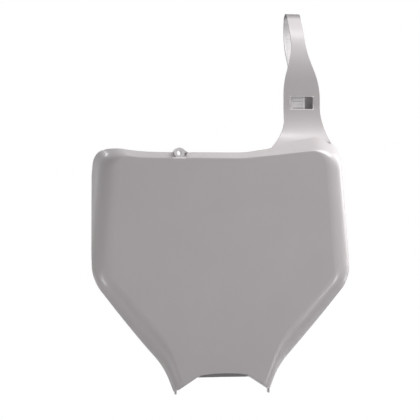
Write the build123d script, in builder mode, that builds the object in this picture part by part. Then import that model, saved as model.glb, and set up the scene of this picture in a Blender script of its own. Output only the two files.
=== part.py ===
# Racing number board: one flexible plastic moulding, closed round a handlebar by its own toothed strap.
# Millimetres. The origin is the middle of the flat number face, +Z is up and the face looks along -Y.
import os
from math import atan2, cos, degrees, floor, radians, sin, sqrt, tan

from build123d import *

# Wall of the dished board
wall = 2.4
inside_fold_radius = 0.8

# Outline from the front. The sides and diagonals are given at side_depth behind the face, the horns'
# outer and inner edges at low_depth, and the folds along the top and the bottom lip on the face itself.
board_width = 247.4
side_corner_z = -16.3
side_corner_radius = 30.0
diagonal_low_x = 52.4
diagonal_low_z = -96.7
horn_outer_x = 47.7
horn_outer_z = -120.0
horn_lean_angle = 20.6
horn_bend_radius = 80.0
cut_high_x = 26.0
cut_high_z = -108.8
cut_low_x = 44.0
cut_low_z = -120.6
cut_corner_radius = 3.0
lip_middle_z = -102.8
lip_end_z = -105.6
lip_arch_radius = 150.0
face_top = 100.1
top_left_inset = 43.7
top_left_slope = 0.11
top_right_x = 20.0
top_right_slope = 0.115
top_bend_radius = 150.0
left_face_radius = 10.0
left_rim_radius = 24.0
right_face_radius = 14.0
right_rim_radius = 28.0

# Margins: radius of the turn and draft of the wall behind it
side_roll_radius = 20.0
side_draft = 14.0
horn_roll_radius = 9.0
top_fold_radius = 1.2
top_draft = 24.0
lip_fold_radius = 1.5
lip_draft = 19.6
lip_end_draft = 9.0
cut_fold_radius = 1.0
cut_draft = 3.0

# Depth of the rim behind the face: along the sides by height, along the top by distance from the middle
side_depth = 7.2
side_depth_z = -19.0
top_depth = 33.0
top_depth_z = 88.0
low_depth = 15.2
low_depth_z = -79.0
rim_bend_radius = 60.0
flange_depth = 13.0
flange_left_x = -62.0
flange_right_x = 22.0
flange_left_depth = 16.4
flange_left_end_x = -103.0
neck_depth = 15.6
neck_depth_x = 50.0
strap_depth_x = 66.0
ear_x = 121.5
flange_bend_radius = 20.0

# Tab below each horn tip
tab_thickness = 1.6
tab_length = 5.0
tab_reach = 2.2
tab_root = 5.0
tab_inset = 1.6

# Eyelet lug at the top fold
lug_x = -42.7
lug_z = 105.5
lug_radius = 5.0
lug_hole_radius = 2.5
lug_front = 1.0
lug_length = 13.0
lug_web = 8.3

# Strap, seen from the front
strap_x = 85.1
strap_thickness = 2.2
band_width = 13.8
paddle_width = 36.4
left_flare_z = 141.0
right_flare_z = 152.0
left_paddle_z = 166.0
right_paddle_z = 161.0
band_low_z = 222.0
band_shift = 1.6
neck_left = 37.3
neck_left_z = 110.0
neck_left_share = 0.38
neck_right = 27.5
neck_right_z = 109.0
neck_right_share = 0.62

# Strap, seen from the side
neck_start_y = 12.5
neck_end_y = 27.0
neck_radius = 52.0
lean_start_z = 181.0
lean_radius = 80.0
lean_angle = 40.0
lean_run = 18.0
fold_radius = 9.0
tail_start_angle = 12.0
tail_end_angle = 48.0
tail_bow_radius = 60.0
tail_gap = 0.5
tail_shift = 3.3
tail_shift_z = 205.0
tail_end_z = 140.0

# Buckle window and the keeper bridge behind it
window_width = 22.8
window_height = 12.2
window_z = 157.5
window_bevel = 0.7
window_corner_radius = 1.5
keeper_height = 17.0
keeper_root = 1.2
keeper_gap = 4.5
keeper_thickness = 2.0

# Ratchet teeth on the inside of the tail
tooth_pitch = 3.6
tooth_depth = 1.0
tail_rail = 1.8

# Room for tools that cut past an edge
spare = 12.0

side_corner_x = board_width / 2
half_width = side_corner_x + side_roll_radius
top_left_x = top_left_inset - side_corner_x
far_depth = top_depth + spare
foot_z = cut_low_z - 2 * spare


def roll(depth, radius, draft, skin):
    """How far a margin has spread outwards at this depth: a round turn, then a straight drafted wall."""
    slope = radians(draft)
    offset_radius = radius - skin
    turn_radius = max(offset_radius, inside_fold_radius)
    centre = (offset_radius - turn_radius) * (1 - sin(slope)) / cos(slope)
    above_centre = skin + turn_radius - depth
    if above_centre > turn_radius * sin(slope):
        return centre + sqrt(max(0, turn_radius**2 - above_centre**2))
    return offset_radius / cos(slope) + (depth - radius) * tan(slope)


def side_roll(depth, skin):
    return roll(depth, side_roll_radius, side_draft, skin)


def horn_roll(depth, skin):
    return roll(depth, horn_roll_radius, side_draft, skin)


def cut_roll(depth, skin):
    return roll(depth, cut_fold_radius, cut_draft, skin)


def top_roll(depth, skin):
    return roll(depth, top_fold_radius, top_draft, skin)


# Lean of each straight stretch of the outline from the vertical. The sides draw in towards the top
# by as much as the deepening rim spreads, so the rim's own sides come out parallel.
side_lean = -atan2(side_roll(top_depth, 0) - side_roll(side_depth, 0), top_depth_z - side_corner_z)
diagonal_lean = atan2(side_corner_x - diagonal_low_x, side_corner_z - diagonal_low_z)
horn_lean = radians(horn_lean_angle)
cut_lean = atan2(cut_high_x - cut_low_x, cut_high_z - cut_low_z)


def stretch(x, z, lean, spread):
    """A leaning line of the outline moved outwards: its place on the X axis and its run per unit up."""
    return x - z * tan(lean) + spread / cos(lean), tan(lean)


def crossing(first, second):
    """Corner where two leaning lines of the outline meet."""
    z = (second[0] - first[0]) / (first[1] - second[1])
    return first[0] + first[1] * z, z


def top_corner(side_line, x, z, slope):
    """Corner between a side and the sloping end of the top line that starts at x, z."""
    corner_z = (z + slope * (side_line[0] - x)) / (1 - slope * side_line[1])
    return side_line[0] + side_line[1] * corner_z, corner_z


def outline(depth, skin):
    """Outline of the dish at one depth, for the outer skin or for a skin inside the wall."""
    spread = side_roll(depth, skin) - side_roll(side_depth, 0)
    side_line = stretch(side_corner_x, side_corner_z, side_lean, spread)
    diagonal_line = stretch(side_corner_x, side_corner_z, diagonal_lean, spread)
    horn_spread = horn_roll(depth, skin) - horn_roll(low_depth, 0)
    horn_line = stretch(horn_outer_x, horn_outer_z, horn_lean, horn_spread)
    cut_spread = cut_roll(depth, skin) - cut_roll(low_depth, 0)
    cut_line = stretch(cut_high_x, cut_high_z, cut_lean, -cut_spread)
    top_z = face_top + top_roll(depth, skin)
    lip_z = lip_end_z - roll(depth, lip_fold_radius, lip_end_draft, skin)
    low_half = [
        crossing(side_line, diagonal_line),
        crossing(diagonal_line, horn_line),
        crossing(horn_line, cut_line),
        (cut_line[0] + cut_line[1] * lip_z, lip_z),
    ]
    lip_middle = (0, lip_middle_z - roll(depth, lip_fold_radius, lip_draft, skin))
    right_corner = top_corner(side_line, top_right_x, top_z, top_right_slope)
    left_x, left_z = top_corner(side_line, -top_left_x, top_z, top_left_slope)
    points = [right_corner, *low_half, lip_middle, *[(-x, z) for x, z in reversed(low_half)]]
    points += [(-left_x, left_z), (top_left_x, top_z), (top_right_x, top_z)]
    corner_share = side_roll(depth, skin) / side_roll(top_depth, 0)
    right_radius = right_face_radius + corner_share * (right_rim_radius - right_face_radius)
    left_radius = left_face_radius + corner_share * (left_rim_radius - left_face_radius)
    cut_radius = cut_corner_radius if skin == 0 else 0
    low_radii = [side_corner_radius + spread, horn_bend_radius - spread, 0, cut_radius]
    radii = [right_radius, *low_radii, lip_arch_radius, *reversed(low_radii)]
    radii += [left_radius, top_bend_radius, top_bend_radius]
    with BuildSketch(Plane.XZ.offset(-depth)) as section:
        with BuildLine():
            FilletPolyline(*points, radius=radii, close=True)
        make_face()
    return section.sketch


def rolled_sections(skin):
    """Sections through the rolled part of the dish, close together where the margins turn."""
    fold_turns = (0, 33, 90 - top_draft) if skin == 0 else (0, 90 - top_draft)
    roll_turns = (36, 58, 90 - side_draft) if skin == 0 else (45, 90 - side_draft)
    turn_radius = max(top_fold_radius - skin, inside_fold_radius)
    depths = [skin + turn_radius * (1 - cos(radians(turn))) for turn in fold_turns]
    depths += [side_roll_radius - (side_roll_radius - skin) * cos(radians(turn)) for turn in roll_turns]
    return [outline(depth, skin) for depth in depths]


def wall_sections(skin):
    """The two ends of the straight drafted walls behind the rolled part."""
    wall_start = side_roll_radius - (side_roll_radius - skin) * sin(radians(side_draft))
    return [outline(wall_start, skin), outline(far_depth, skin)]


# Space inside the dish
with BuildPart() as cavity:
    loft(rolled_sections(wall))
    loft(wall_sections(wall), ruled=True)

# Dished board: face, rolled margins, top flange, bottom lip and horns
with BuildPart() as board:
    loft(rolled_sections(0))
    loft(wall_sections(0), ruled=True)
    add(cavity.part, mode=Mode.SUBTRACT)
    # Rim of the sides, shallow at the widest point and deep at the top
    with BuildSketch(Plane.YZ):
        with BuildLine():
            FilletPolyline(
                (low_depth, foot_z - spare),
                (low_depth, low_depth_z),
                (side_depth, side_depth_z),
                (top_depth, top_depth_z),
                (top_depth, face_top + far_depth),
                radius=rim_bend_radius,
            )
            Polyline(
                (top_depth, face_top + far_depth),
                (far_depth + spare, face_top + far_depth),
                (far_depth + spare, foot_z - spare),
                (low_depth, foot_z - spare),
            )
        make_face()
    extrude(amount=2 * half_width, both=True, mode=Mode.SUBTRACT)
    # Rim of the top flange: shallow in the middle, running out to the deep sides and under the strap
    with BuildSketch(Plane.XY.offset(top_depth_z - spare)):
        with BuildLine():
            FilletPolyline(
                (-half_width, top_depth),
                (-ear_x, top_depth),
                (flange_left_end_x, flange_left_depth),
                (flange_left_x, flange_depth),
                (flange_right_x, flange_depth),
                (neck_depth_x, neck_depth),
                (strap_depth_x, top_depth),
                (half_width, top_depth),
                radius=flange_bend_radius,
            )
            Polyline(
                (half_width, top_depth),
                (half_width, far_depth + spare),
                (-half_width, far_depth + spare),
                (-half_width, top_depth),
            )
        make_face()
    extrude(amount=far_depth + spare, mode=Mode.SUBTRACT)
    # Tabs that carry the horn walls a little below their tips
    tip_x, tip_z = crossing(
        stretch(horn_outer_x, horn_outer_z, horn_lean, 0), stretch(cut_high_x, cut_high_z, cut_lean, 0)
    )
    for side in (-1, 1):
        with Locations((side * (tip_x - tab_inset), low_depth, tip_z - tab_reach)):
            Box(tab_thickness, tab_length, tab_root + tab_reach, align=(Align.CENTER, Align.MAX, Align.MIN))
    # Eyelet lug with a web on one side, and its hole
    with BuildSketch(Plane.XZ.offset(-lug_front)):
        with Locations((lug_x, lug_z)):
            Circle(lug_radius)
            Polygon((0, lug_radius), (lug_radius / 2, lug_radius * 0.9), (lug_web, 0), (0, 0), align=None)
    extrude(amount=-lug_length)
    with BuildSketch(Plane.XZ):
        with Locations((lug_x, lug_z)):
            Circle(lug_hole_radius)
    extrude(amount=lug_length * 2, both=True, mode=Mode.SUBTRACT)

# Points of the strap's centre line in side view
neck_slope = radians(top_draft)
neck_rise = (strap_x - neck_left - top_right_x) * top_right_slope
neck_start_z = face_top + neck_rise + top_roll(neck_start_y, 0) - wall / 2 / cos(neck_slope)
strap_y = neck_start_y + neck_radius * (1 - sin(neck_slope))
lean = radians(lean_angle)
run_end_y = strap_y + lean_radius * (1 - cos(lean)) + lean_run * sin(lean)
run_end_z = lean_start_z + lean_radius * sin(lean) + lean_run * cos(lean)
fold_y = run_end_y + fold_radius * cos(lean)
fold_z = run_end_z - fold_radius * sin(lean)
tail_y = strap_y + strap_thickness + tail_gap
tail_start = radians(tail_start_angle)
tail_end = radians(tail_end_angle)
bow_centre_y = fold_y + (fold_radius - tail_bow_radius) * cos(tail_start)
bow_centre_z = fold_z - (fold_radius - tail_bow_radius) * sin(tail_start)
bow_end_y = bow_centre_y + tail_bow_radius * cos(tail_end)
bow_end_z = bow_centre_z - tail_bow_radius * sin(tail_end)
sweep_radius = (bow_end_y - tail_y) / (1 - cos(tail_end))
sweep_centre_y = tail_y + sweep_radius
sweep_centre_z = bow_end_z - sweep_radius * sin(tail_end)
crown_z = fold_z + fold_radius + spare
band_half = band_width / 2
band_x = strap_x - band_shift
paddle_half = paddle_width / 2


def shoulder(side):
    """One edge of the strap from the neck up: flare, straight paddle, sloping shoulder, narrow band."""
    if side < 0:
        neck_x, neck_z, bow = neck_left, neck_left_z, neck_left_share
        flare_z, high_z = left_flare_z, left_paddle_z
    else:
        neck_x, neck_z, bow = neck_right, neck_right_z, neck_right_share
        flare_z, high_z = right_flare_z, right_paddle_z
    flare_rise = flare_z - neck_z
    slope_mid = (high_z + band_low_z) / 2
    slope_bow = (band_low_z - high_z) / 14

    def at(x, z, shift=0):
        return strap_x - shift + side * x, z

    foot = Line(at(neck_x, face_top - spare), at(neck_x, neck_z))
    flare = Bezier(
        foot @ 1,
        at(paddle_half + bow * (neck_x - paddle_half), neck_z + flare_rise * 0.32),
        at(paddle_half, flare_z - flare_rise * 0.3),
        at(paddle_half, flare_z),
    )
    paddle = Line(flare @ 1, at(paddle_half, high_z))
    slope = Bezier(
        paddle @ 1,
        at(paddle_half, slope_mid - slope_bow),
        at(band_half, slope_mid + slope_bow, band_shift),
        at(band_half, band_low_z, band_shift),
    )
    Line(slope @ 1, at(band_half, crown_z, band_shift))


# Front of the strap: neck, paddle with its window, and the band up to the crown of the fold
with BuildPart() as strap_front:
    with BuildSketch(Plane.YZ.offset(strap_x)):
        with BuildLine():
            neck_way = (cos(neck_slope), sin(neck_slope))
            neck = JernArc((neck_start_y, neck_start_z), neck_way, neck_radius, 90 - top_draft)
            rise = Line(neck @ 1, (strap_y, lean_start_z))
            bow = JernArc(rise @ 1, (0, 1), lean_radius, -lean_angle)
            run = Line(bow @ 1, (run_end_y, run_end_z))
            JernArc(run @ 1, (sin(lean), cos(lean)), fold_radius, lean_angle - 90)
        trace(line_width=strap_thickness)
    extrude(amount=2 * half_width, both=True)
    with BuildSketch(Plane.XZ):
        with BuildLine():
            shoulder(-1)
            shoulder(1)
            Line((strap_x - neck_left, face_top - spare), (strap_x + neck_right, face_top - spare))
            Line((band_x - band_half, crown_z), (band_x + band_half, crown_z))
        make_face()
    extrude(amount=-(fold_y + spare), mode=Mode.INTERSECT)
    with BuildSketch(Plane.XZ):
        with Locations((strap_x, window_z)):
            RectangleRounded(window_width, window_height, window_corner_radius)
    extrude(amount=-(fold_y + spare), mode=Mode.SUBTRACT)
    with BuildSketch(Plane.XZ.offset(strap_thickness / 2 - strap_y)):
        with Locations((strap_x, window_z)):
            RectangleRounded(
                window_width + 2 * window_bevel,
                window_height + 2 * window_bevel,
                window_corner_radius + window_bevel,
            )
    extrude(amount=-window_bevel, taper=45, mode=Mode.SUBTRACT)
    # The root starts deeper towards the rounded corner, and nothing of it lies inside the dish
    with BuildSketch(Plane.XY):
        Polygon(
            (strap_x - neck_left, neck_start_y),
            (strap_x + neck_right, neck_end_y),
            (strap_x + neck_right, 0),
            (strap_x - neck_left, 0),
            align=None,
        )
    extrude(amount=crown_z, mode=Mode.SUBTRACT)
    add(cavity.part, mode=Mode.SUBTRACT)
    # Keeper bridge across the back of the window
    keeper_floor = strap_y + strap_thickness / 2 - keeper_root
    with BuildSketch(Plane.XY.offset(window_z - keeper_height / 2)):
        with Locations((strap_x, keeper_floor)):
            Rectangle(
                window_width + 2 * keeper_thickness,
                keeper_root + keeper_gap + keeper_thickness,
                align=(Align.CENTER, Align.MIN),
            )
            Rectangle(
                window_width,
                keeper_root + keeper_gap,
                align=(Align.CENTER, Align.MIN),
                mode=Mode.SUBTRACT,
            )
    extrude(amount=keeper_height)


def tail_outline(half):
    """The tail from the front: under the crown, then drifting sideways to hang off centre in the keeper."""
    low_x = strap_x - tail_shift
    middle = [(band_x, crown_z), (band_x, fold_z), (low_x, tail_shift_z), (low_x, tail_end_z)]
    left = [(x - half, z) for x, z in middle]
    right = [(x + half, z) for x, z in reversed(middle)]
    with BuildSketch(Plane.XZ) as section:
        Polygon(*left, *right, align=None)
    return section.sketch


# Tail of the strap: from the crown of the fold down through the keeper, with teeth between two rails
with BuildPart() as teeth:
    sweep_turn = degrees(tooth_pitch / sweep_radius)
    sweep_teeth = floor(tail_end_angle / sweep_turn)
    bow_turn = degrees(tooth_pitch / tail_bow_radius)
    bow_teeth = floor((tail_end_angle - tail_start_angle) / bow_turn)
    with BuildSketch(Plane.YZ.offset(strap_x)):
        with Locations((sweep_centre_y, sweep_centre_z)):
            with PolarLocations(
                sweep_radius + strap_thickness / 2,
                sweep_teeth,
                start_angle=180 - sweep_turn * (sweep_teeth - 0.5),
                angular_range=sweep_turn * sweep_teeth,
            ):
                Polygon(
                    (tooth_depth, -0.45 * tooth_pitch),
                    (tooth_depth, 0.4 * tooth_pitch),
                    (-tooth_depth, 0.4 * tooth_pitch),
                    (0, -0.45 * tooth_pitch),
                    align=None,
                )
        with Locations((bow_centre_y, bow_centre_z)):
            with PolarLocations(
                tail_bow_radius - strap_thickness / 2,
                bow_teeth,
                start_angle=-tail_end_angle + bow_turn * 0.5,
                angular_range=bow_turn * bow_teeth,
            ):
                Polygon(
                    (-tooth_depth, 0.45 * tooth_pitch),
                    (-tooth_depth, -0.4 * tooth_pitch),
                    (tooth_depth, -0.4 * tooth_pitch),
                    (0, 0.45 * tooth_pitch),
                    align=None,
                )
    extrude(amount=2 * half_width, both=True)
    extrude(tail_outline(band_half - tail_rail), amount=-(2 * fold_y), mode=Mode.INTERSECT)

with BuildPart() as strap_tail:
    with BuildSketch(Plane.YZ.offset(strap_x)):
        with BuildLine():
            crown = JernArc((fold_y, fold_z + fold_radius), (1, 0), fold_radius, -90 - tail_start_angle)
            bow_way = (-sin(tail_start), -cos(tail_start))
            bow_down = JernArc(crown @ 1, bow_way, tail_bow_radius, tail_start_angle - tail_end_angle)
            sweep_way = (-sin(tail_end), -cos(tail_end))
            sweep_down = JernArc(bow_down @ 1, sweep_way, sweep_radius, tail_end_angle)
            Line(sweep_down @ 1, (tail_y, tail_end_z))
        trace(line_width=strap_thickness)
    extrude(amount=2 * half_width, both=True)
    extrude(tail_outline(band_half), amount=-(2 * fold_y), mode=Mode.INTERSECT)
    add(teeth.part, mode=Mode.SUBTRACT)

# The whole moulding in one piece
with BuildPart() as number_board:
    add(board.part)
    add(strap_front.part)
    add(strap_tail.part)

os.makedirs("parts", exist_ok=True)
number_board.part.label = "number_board"
export_step(number_board.part, "parts/number_board.step")
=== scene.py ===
from math import cos, radians, sin, tan

import bpy
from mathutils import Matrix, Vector

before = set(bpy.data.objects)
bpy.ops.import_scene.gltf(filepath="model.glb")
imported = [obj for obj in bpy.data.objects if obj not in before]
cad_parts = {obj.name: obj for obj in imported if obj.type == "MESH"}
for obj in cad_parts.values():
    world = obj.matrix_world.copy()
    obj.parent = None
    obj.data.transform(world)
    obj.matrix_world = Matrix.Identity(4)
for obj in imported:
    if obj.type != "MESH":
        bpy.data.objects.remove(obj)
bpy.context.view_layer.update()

# Shared effect: the cloudy unevenness of a moulded or painted face.
# It puts out a value about one, for the board and the floor to multiply into their colour.
cloud = bpy.data.node_groups.new("cloud", "ShaderNodeTree")
cloud.interface.new_socket("Vector", in_out="INPUT", socket_type="NodeSocketVector")
cloud.interface.new_socket("Scale", in_out="INPUT", socket_type="NodeSocketFloat")
cloud.interface.new_socket("Spread", in_out="INPUT", socket_type="NodeSocketFloat")
cloud.interface.new_socket("Value", in_out="OUTPUT", socket_type="NodeSocketFloat")
cloud_in = cloud.nodes.new("NodeGroupInput")
cloud_out = cloud.nodes.new("NodeGroupOutput")
cloud_noise = cloud.nodes.new("ShaderNodeTexNoise")
cloud_noise.inputs["Detail"].default_value = 4.0
cloud.links.new(cloud_in.outputs["Vector"], cloud_noise.inputs["Vector"])
cloud.links.new(cloud_in.outputs["Scale"], cloud_noise.inputs["Scale"])
cloud_centre = cloud.nodes.new("ShaderNodeMath")
cloud_centre.operation = "SUBTRACT"
cloud_centre.inputs[1].default_value = 0.5
cloud.links.new(cloud_noise.outputs["Fac"], cloud_centre.inputs[0])
cloud_value = cloud.nodes.new("ShaderNodeMath")
cloud_value.operation = "MULTIPLY_ADD"
cloud_value.inputs[2].default_value = 1.0
cloud.links.new(cloud_centre.outputs[0], cloud_value.inputs[0])
cloud.links.new(cloud_in.outputs["Spread"], cloud_value.inputs[1])
cloud.links.new(cloud_value.outputs[0], cloud_out.inputs["Value"])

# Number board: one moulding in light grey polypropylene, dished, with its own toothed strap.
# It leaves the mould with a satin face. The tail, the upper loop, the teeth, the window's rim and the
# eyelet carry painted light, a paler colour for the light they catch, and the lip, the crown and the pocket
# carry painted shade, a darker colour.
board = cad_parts["number_board"]
plastic = bpy.data.materials.new("grey_polypropylene")
plastic.use_nodes = True
nodes = plastic.node_tree.nodes
links = plastic.node_tree.links
skin = nodes["Principled BSDF"]
skin.inputs["IOR"].default_value = 1.49
skin.inputs["Coat Roughness"].default_value = 0.2
place = nodes.new("ShaderNodeTexCoord")
place_axes = nodes.new("ShaderNodeSeparateXYZ")
links.new(place.outputs["Object"], place_axes.inputs[0])
height = place_axes.outputs["Z"]
facing = nodes.new("ShaderNodeNewGeometry")
facing_axes = nodes.new("ShaderNodeSeparateXYZ")
links.new(facing.outputs["True Normal"], facing_axes.inputs[0])


def ramp(value, low, high, start, end):
    node = nodes.new("ShaderNodeMapRange")
    node.interpolation_type = "SMOOTHSTEP"
    node.inputs["From Min"].default_value = low
    node.inputs["From Max"].default_value = high
    node.inputs["To Min"].default_value = start
    node.inputs["To Max"].default_value = end
    links.new(value, node.inputs["Value"])
    return node.outputs["Result"]


def combine(operation, first, second):
    node = nodes.new("ShaderNodeMath")
    node.operation = operation
    for socket, value in zip(node.inputs, (first, second)):
        if isinstance(value, float):
            socket.default_value = value
        else:
            links.new(value, socket)
    return node.outputs[0]


def near(point, size, edge):
    """One inside a box about the point, fading to nothing over the outer share of it."""
    offset = nodes.new("ShaderNodeVectorMath")
    offset.operation = "SUBTRACT"
    links.new(place.outputs["Object"], offset.inputs[0])
    offset.inputs[1].default_value = point
    span = nodes.new("ShaderNodeVectorMath")
    span.operation = "DIVIDE"
    links.new(offset.outputs["Vector"], span.inputs[0])
    span.inputs[1].default_value = size
    reach = nodes.new("ShaderNodeVectorMath")
    reach.operation = "ABSOLUTE"
    links.new(span.outputs["Vector"], reach.inputs[0])
    axes = nodes.new("ShaderNodeSeparateXYZ")
    links.new(reach.outputs["Vector"], axes.inputs[0])
    widest = combine("MAXIMUM", combine("MAXIMUM", axes.outputs[0], axes.outputs[1]), axes.outputs[2])
    return ramp(widest, 1.0 - edge, 1.0, 1.0, 0.0)


# The tail is the run of the strap behind the leaning middle line of its loop, edges left out.
loop_slope = 0.6
loop_offset = -0.065
loop_middle = combine("MULTIPLY_ADD", height, loop_slope)
loop_middle.node.inputs[2].default_value = loop_offset
behind = combine("SUBTRACT", place_axes.outputs["Y"], loop_middle)
# Painted light: the tail is made paler for the light it catches, and everything high on the loop a faint
# bit paler.
tail_height = ramp(height, 0.178, 0.19, 0.0, 1.0)
tail_part = combine("MULTIPLY", ramp(behind, -0.001, 0.002, 0.0, 1.0), tail_height)
sideways = combine("MULTIPLY", facing_axes.outputs["X"], facing_axes.outputs["X"])
painted_tail_light = combine("MULTIPLY", tail_part, ramp(sideways, 0.3, 0.65, 1.0, 0.0))
painted_band_light = ramp(height, 0.185, 0.225, 0.0, 0.04)
painted_loop_light = combine("MAXIMUM", painted_tail_light, painted_band_light)
# Painted highlight: the teeth seen in the window are made paler for the light they catch.
teeth_point = (0.0815, 0.0465, 0.1575)
teeth_size = (0.0085, 0.0032, 0.0068)
painted_teeth_highlight = combine("MULTIPLY", near(teeth_point, teeth_size, 0.1), 0.75)
# Painted highlight: the window's rim is made paler where it catches the light.
rim_point = (0.0851, 0.0425, 0.1575)
rim_size = (0.0122, 0.0014, 0.0069)
painted_rim_highlight = combine("MULTIPLY", near(rim_point, rim_size, 0.03), 0.7)
# Painted light: the eyelet is made paler for the light it catches.
eyelet_point = (-0.0427, 0.004, 0.1055)
eyelet_size = (0.0065, 0.0045, 0.0062)
painted_eyelet_light = combine("MULTIPLY", near(eyelet_point, eyelet_size, 0.2), 0.6)
painted_small_highlights = combine("MAXIMUM", combine("MAXIMUM", painted_teeth_highlight, painted_rim_highlight), painted_eyelet_light)
painted_light = combine("MAXIMUM", painted_loop_light, painted_small_highlights)
tint = nodes.new("ShaderNodeMix")
tint.data_type = "RGBA"
tint.inputs["A"].default_value = (0.375, 0.351, 0.356, 1.0)
tint.inputs["B"].default_value = (0.72, 0.70, 0.705, 1.0)
links.new(painted_light, tint.inputs["Factor"])

# Painted shade darkens the underside of the lip, the top of the crown of the loop and the window's open
# end.
lip_point = (0.0, 0.008, -0.1075)
lip_size = (0.0245, 0.0090, 0.0056)
downward = ramp(facing_axes.outputs["Z"], -0.35, -0.1, 1.0, 0.0)
lip_painted_shade = ramp(combine("MULTIPLY", near(lip_point, lip_size, 0.12), downward), 0.0, 1.0, 1.0, 0.3)
# Painted shade: darker along the top of the crown.
crown_painted_shade = ramp(height, 0.2435, 0.2485, 1.0, 0.45)
# Painted shade: darker inside the window's open end, in the pocket behind it.
pocket_point = (0.0935, 0.0500, 0.1575)
pocket_size = (0.0042, 0.0060, 0.0090)
pocket_painted_shade = ramp(near(pocket_point, pocket_size, 0.1), 0.0, 1.0, 1.0, 0.75)
# Painted shade, all together: it darkens the colour and thins the coat there.
painted_shade_scale = combine("MULTIPLY", combine("MULTIPLY", lip_painted_shade, crown_painted_shade), pocket_painted_shade)
painted_shade_amount = combine("SUBTRACT", 1.0, painted_shade_scale)
mottle = nodes.new("ShaderNodeGroup")
mottle.node_tree = cloud
mottle.inputs["Scale"].default_value = 26.0
mottle.inputs["Spread"].default_value = 0.07
links.new(place.outputs["Object"], mottle.inputs["Vector"])
colour = nodes.new("ShaderNodeVectorMath")
colour.operation = "SCALE"
links.new(tint.outputs["Result"], colour.inputs["Vector"])
links.new(combine("MULTIPLY", mottle.outputs["Value"], painted_shade_scale), colour.inputs["Scale"])
links.new(colour.outputs["Vector"], skin.inputs["Base Color"])

# Long faint scuffs, a rougher, thinner coat where shade is painted, and a fine grain.
coat_weight = 0.25
painted_shade_roughness = 0.6
scuff_stretch = nodes.new("ShaderNodeMapping")
scuff_stretch.inputs["Scale"].default_value = (1.0, 1.0, 0.16)
scuff_stretch.inputs["Rotation"].default_value = (0.0, radians(24.0), 0.0)
links.new(place.outputs["Object"], scuff_stretch.inputs["Vector"])
scuff = nodes.new("ShaderNodeTexNoise")
scuff.inputs["Scale"].default_value = 210.0
scuff.inputs["Detail"].default_value = 5.0
links.new(scuff_stretch.outputs["Vector"], scuff.inputs["Vector"])
scuffed = ramp(scuff.outputs["Fac"], 0.35, 0.75, 0.36, 0.46)
links.new(combine("ADD", scuffed, combine("MULTIPLY", painted_shade_amount, painted_shade_roughness)), skin.inputs["Roughness"])
links.new(combine("MULTIPLY", painted_shade_scale, coat_weight), skin.inputs["Coat Weight"])
grain = nodes.new("ShaderNodeTexNoise")
grain.inputs["Scale"].default_value = 1500.0
links.new(place.outputs["Object"], grain.inputs["Vector"])
bump = nodes.new("ShaderNodeBump")
bump.inputs["Strength"].default_value = 0.05
bump.inputs["Distance"].default_value = 0.0003
links.new(grain.outputs["Fac"], bump.inputs["Height"])
links.new(bump.outputs["Normal"], skin.inputs["Normal"])
for slot in board.material_slots:
    slot.material = plastic

# Floor: a wide pale table below the board, which hangs from its strap, in matt paint with a faint cloud.
# It looks paler to the camera and in reflections than it is as a source of bounced light.
floor_z = -0.40
floor_half = 1.1
corners = [(-floor_half, -floor_half, floor_z), (floor_half, -floor_half, floor_z)]
corners += [(floor_half, floor_half, floor_z), (-floor_half, floor_half, floor_z)]
floor_mesh = bpy.data.meshes.new("floor")
floor_mesh.from_pydata(corners, [], [(0, 1, 2, 3)])
floor = bpy.data.objects.new("floor", floor_mesh)
bpy.context.scene.collection.objects.link(floor)
floor_paint = bpy.data.materials.new("floor_paint")
floor_paint.use_nodes = True
floor_nodes = floor_paint.node_tree.nodes
floor_links = floor_paint.node_tree.links
floor_skin = floor_nodes["Principled BSDF"]
floor_skin.inputs["Roughness"].default_value = 0.8
floor_path = floor_nodes.new("ShaderNodeLightPath")
floor_seen = floor_nodes.new("ShaderNodeMath")
floor_seen.operation = "MAXIMUM"
floor_links.new(floor_path.outputs["Is Camera Ray"], floor_seen.inputs[0])
floor_links.new(floor_path.outputs["Is Transmission Ray"], floor_seen.inputs[1])
floor_shown = floor_nodes.new("ShaderNodeMath")
floor_shown.operation = "MAXIMUM"
floor_links.new(floor_seen.outputs[0], floor_shown.inputs[0])
floor_links.new(floor_path.outputs["Is Glossy Ray"], floor_shown.inputs[1])
floor_tint = floor_nodes.new("ShaderNodeMix")
floor_tint.data_type = "RGBA"
floor_tint.inputs["A"].default_value = (0.55, 0.55, 0.55, 1.0)
floor_tint.inputs["B"].default_value = (0.85, 0.85, 0.85, 1.0)
floor_links.new(floor_shown.outputs[0], floor_tint.inputs["Factor"])
floor_place = floor_nodes.new("ShaderNodeTexCoord")
floor_cloud = floor_nodes.new("ShaderNodeGroup")
floor_cloud.node_tree = cloud
floor_cloud.inputs["Scale"].default_value = 6.0
floor_cloud.inputs["Spread"].default_value = 0.04
floor_links.new(floor_place.outputs["Object"], floor_cloud.inputs["Vector"])
floor_colour = floor_nodes.new("ShaderNodeVectorMath")
floor_colour.operation = "SCALE"
floor_links.new(floor_tint.outputs["Result"], floor_colour.inputs["Vector"])
floor_links.new(floor_cloud.outputs["Value"], floor_colour.inputs["Scale"])
floor_links.new(floor_colour.outputs["Vector"], floor_skin.inputs["Base Color"])
floor.data.materials.append(floor_paint)

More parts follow.
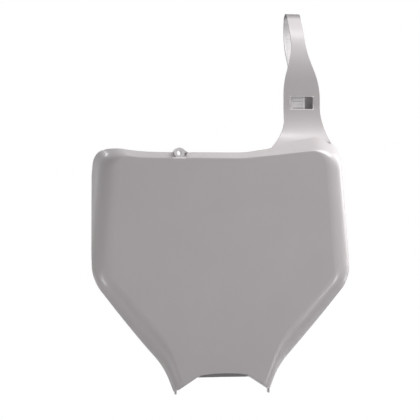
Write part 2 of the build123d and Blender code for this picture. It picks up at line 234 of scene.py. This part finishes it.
# World: white behind the object and in its reflections.
# As a source of light it is weak and even.
world = bpy.data.worlds.new("studio")
bpy.context.scene.world = world
world.use_nodes = True
sky_nodes = world.node_tree.nodes
sky_links = world.node_tree.links
sky = sky_nodes["Background"]
sky.inputs["Color"].default_value = (1.0, 1.0, 1.0, 1.0)
sky_path = sky_nodes.new("ShaderNodeLightPath")
sky_seen = sky_nodes.new("ShaderNodeMath")
sky_seen.operation = "MAXIMUM"
sky_links.new(sky_path.outputs["Is Camera Ray"], sky_seen.inputs[0])
sky_links.new(sky_path.outputs["Is Transmission Ray"], sky_seen.inputs[1])
sky_shown = sky_nodes.new("ShaderNodeMath")
sky_shown.operation = "MAXIMUM"
sky_links.new(sky_seen.outputs[0], sky_shown.inputs[0])
sky_links.new(sky_path.outputs["Is Glossy Ray"], sky_shown.inputs[1])
sky_level = sky_nodes.new("ShaderNodeMapRange")
sky_level.inputs["To Min"].default_value = 0.26
sky_level.inputs["To Max"].default_value = 1.0
sky_links.new(sky_shown.outputs[0], sky_level.inputs["Value"])
sky_links.new(sky_level.outputs["Result"], sky.inputs["Strength"])


# Lamps: a soft key high on the right, weak ones in front, small ones at the sides, behind and above,
# and one over the strap's root. Each level is the light it brings to its target, at any distance or spread.
board_middle = (0.0, 0.02, 0.05)
strap_root = (0.085, 0.02, 0.13)
power_per_level = 9.87


def soft_lamp(name, towards, level, size=0.9, distance=1.6, spread=180.0, target=board_middle):
    lamp = bpy.data.lights.new(name, "AREA")
    lamp.shape = "DISK"
    lamp.size = size
    lamp.spread = radians(spread)
    half = radians(spread / 2)
    lamp.energy = level * power_per_level * distance**2 * (1 - half / tan(half))
    holder = bpy.data.objects.new(name, lamp)
    aim = Vector(towards).normalized()
    holder.location = Vector(target) + aim * distance
    holder.rotation_mode = "QUATERNION"
    holder.rotation_quaternion = aim.to_track_quat("Z", "Y")
    bpy.context.scene.collection.objects.link(holder)


soft_lamp("key", (0.65, -0.14, 0.75), 1.24, size=0.7, distance=1.1)
soft_lamp("front", (-0.4, -0.9, 0.25), 0.08)
soft_lamp("right_front", (0.62, -0.73, -0.27), 0.25, size=0.22, distance=1.2, spread=60.0)
soft_lamp("left_front", (-0.72, -0.55, -0.42), 0.31, size=0.22, distance=0.95, spread=60.0)
soft_lamp("right", (0.93, 0.19, -0.29), 0.08, size=0.14, distance=1.0, spread=60.0)
soft_lamp("left", (-0.89, 0.23, -0.37), 0.08, size=0.14, distance=1.0, spread=60.0)
soft_lamp("back_left", (-0.5, 0.55, 0.66), 0.06, size=0.14, distance=1.2)
soft_lamp("back_right", (0.85, 0.45, 0.25), 0.3)
soft_lamp("top", (0.1, -0.1, 1.0), 0.03)
soft_lamp("strap", (0.1, -0.15, 0.98), 0.32, size=0.12, distance=0.6, spread=32.0, target=strap_root)

# Camera: level with the middle of the board and strap together, nine degrees round to the left.
# The lens is long, so the sides stay nearly parallel.
camera_turn = radians(9.0)
camera_distance = 1.33
camera_aim = Vector((-0.01375, 0.0, 0.0513))
camera = bpy.data.objects.new("camera", bpy.data.cameras.new("camera"))
camera.data.lens = 120.0
camera.data.sensor_width = 36.0
camera.data.clip_start = 0.05
camera.data.clip_end = 20.0
camera.location = camera_aim - camera_distance * Vector((sin(camera_turn), cos(camera_turn), 0.0))
camera.rotation_euler = (radians(90.0), 0.0, -camera_turn)
bpy.context.scene.collection.objects.link(camera)
bpy.context.scene.camera = camera
bpy.context.scene.view_settings.view_transform = "Standard"
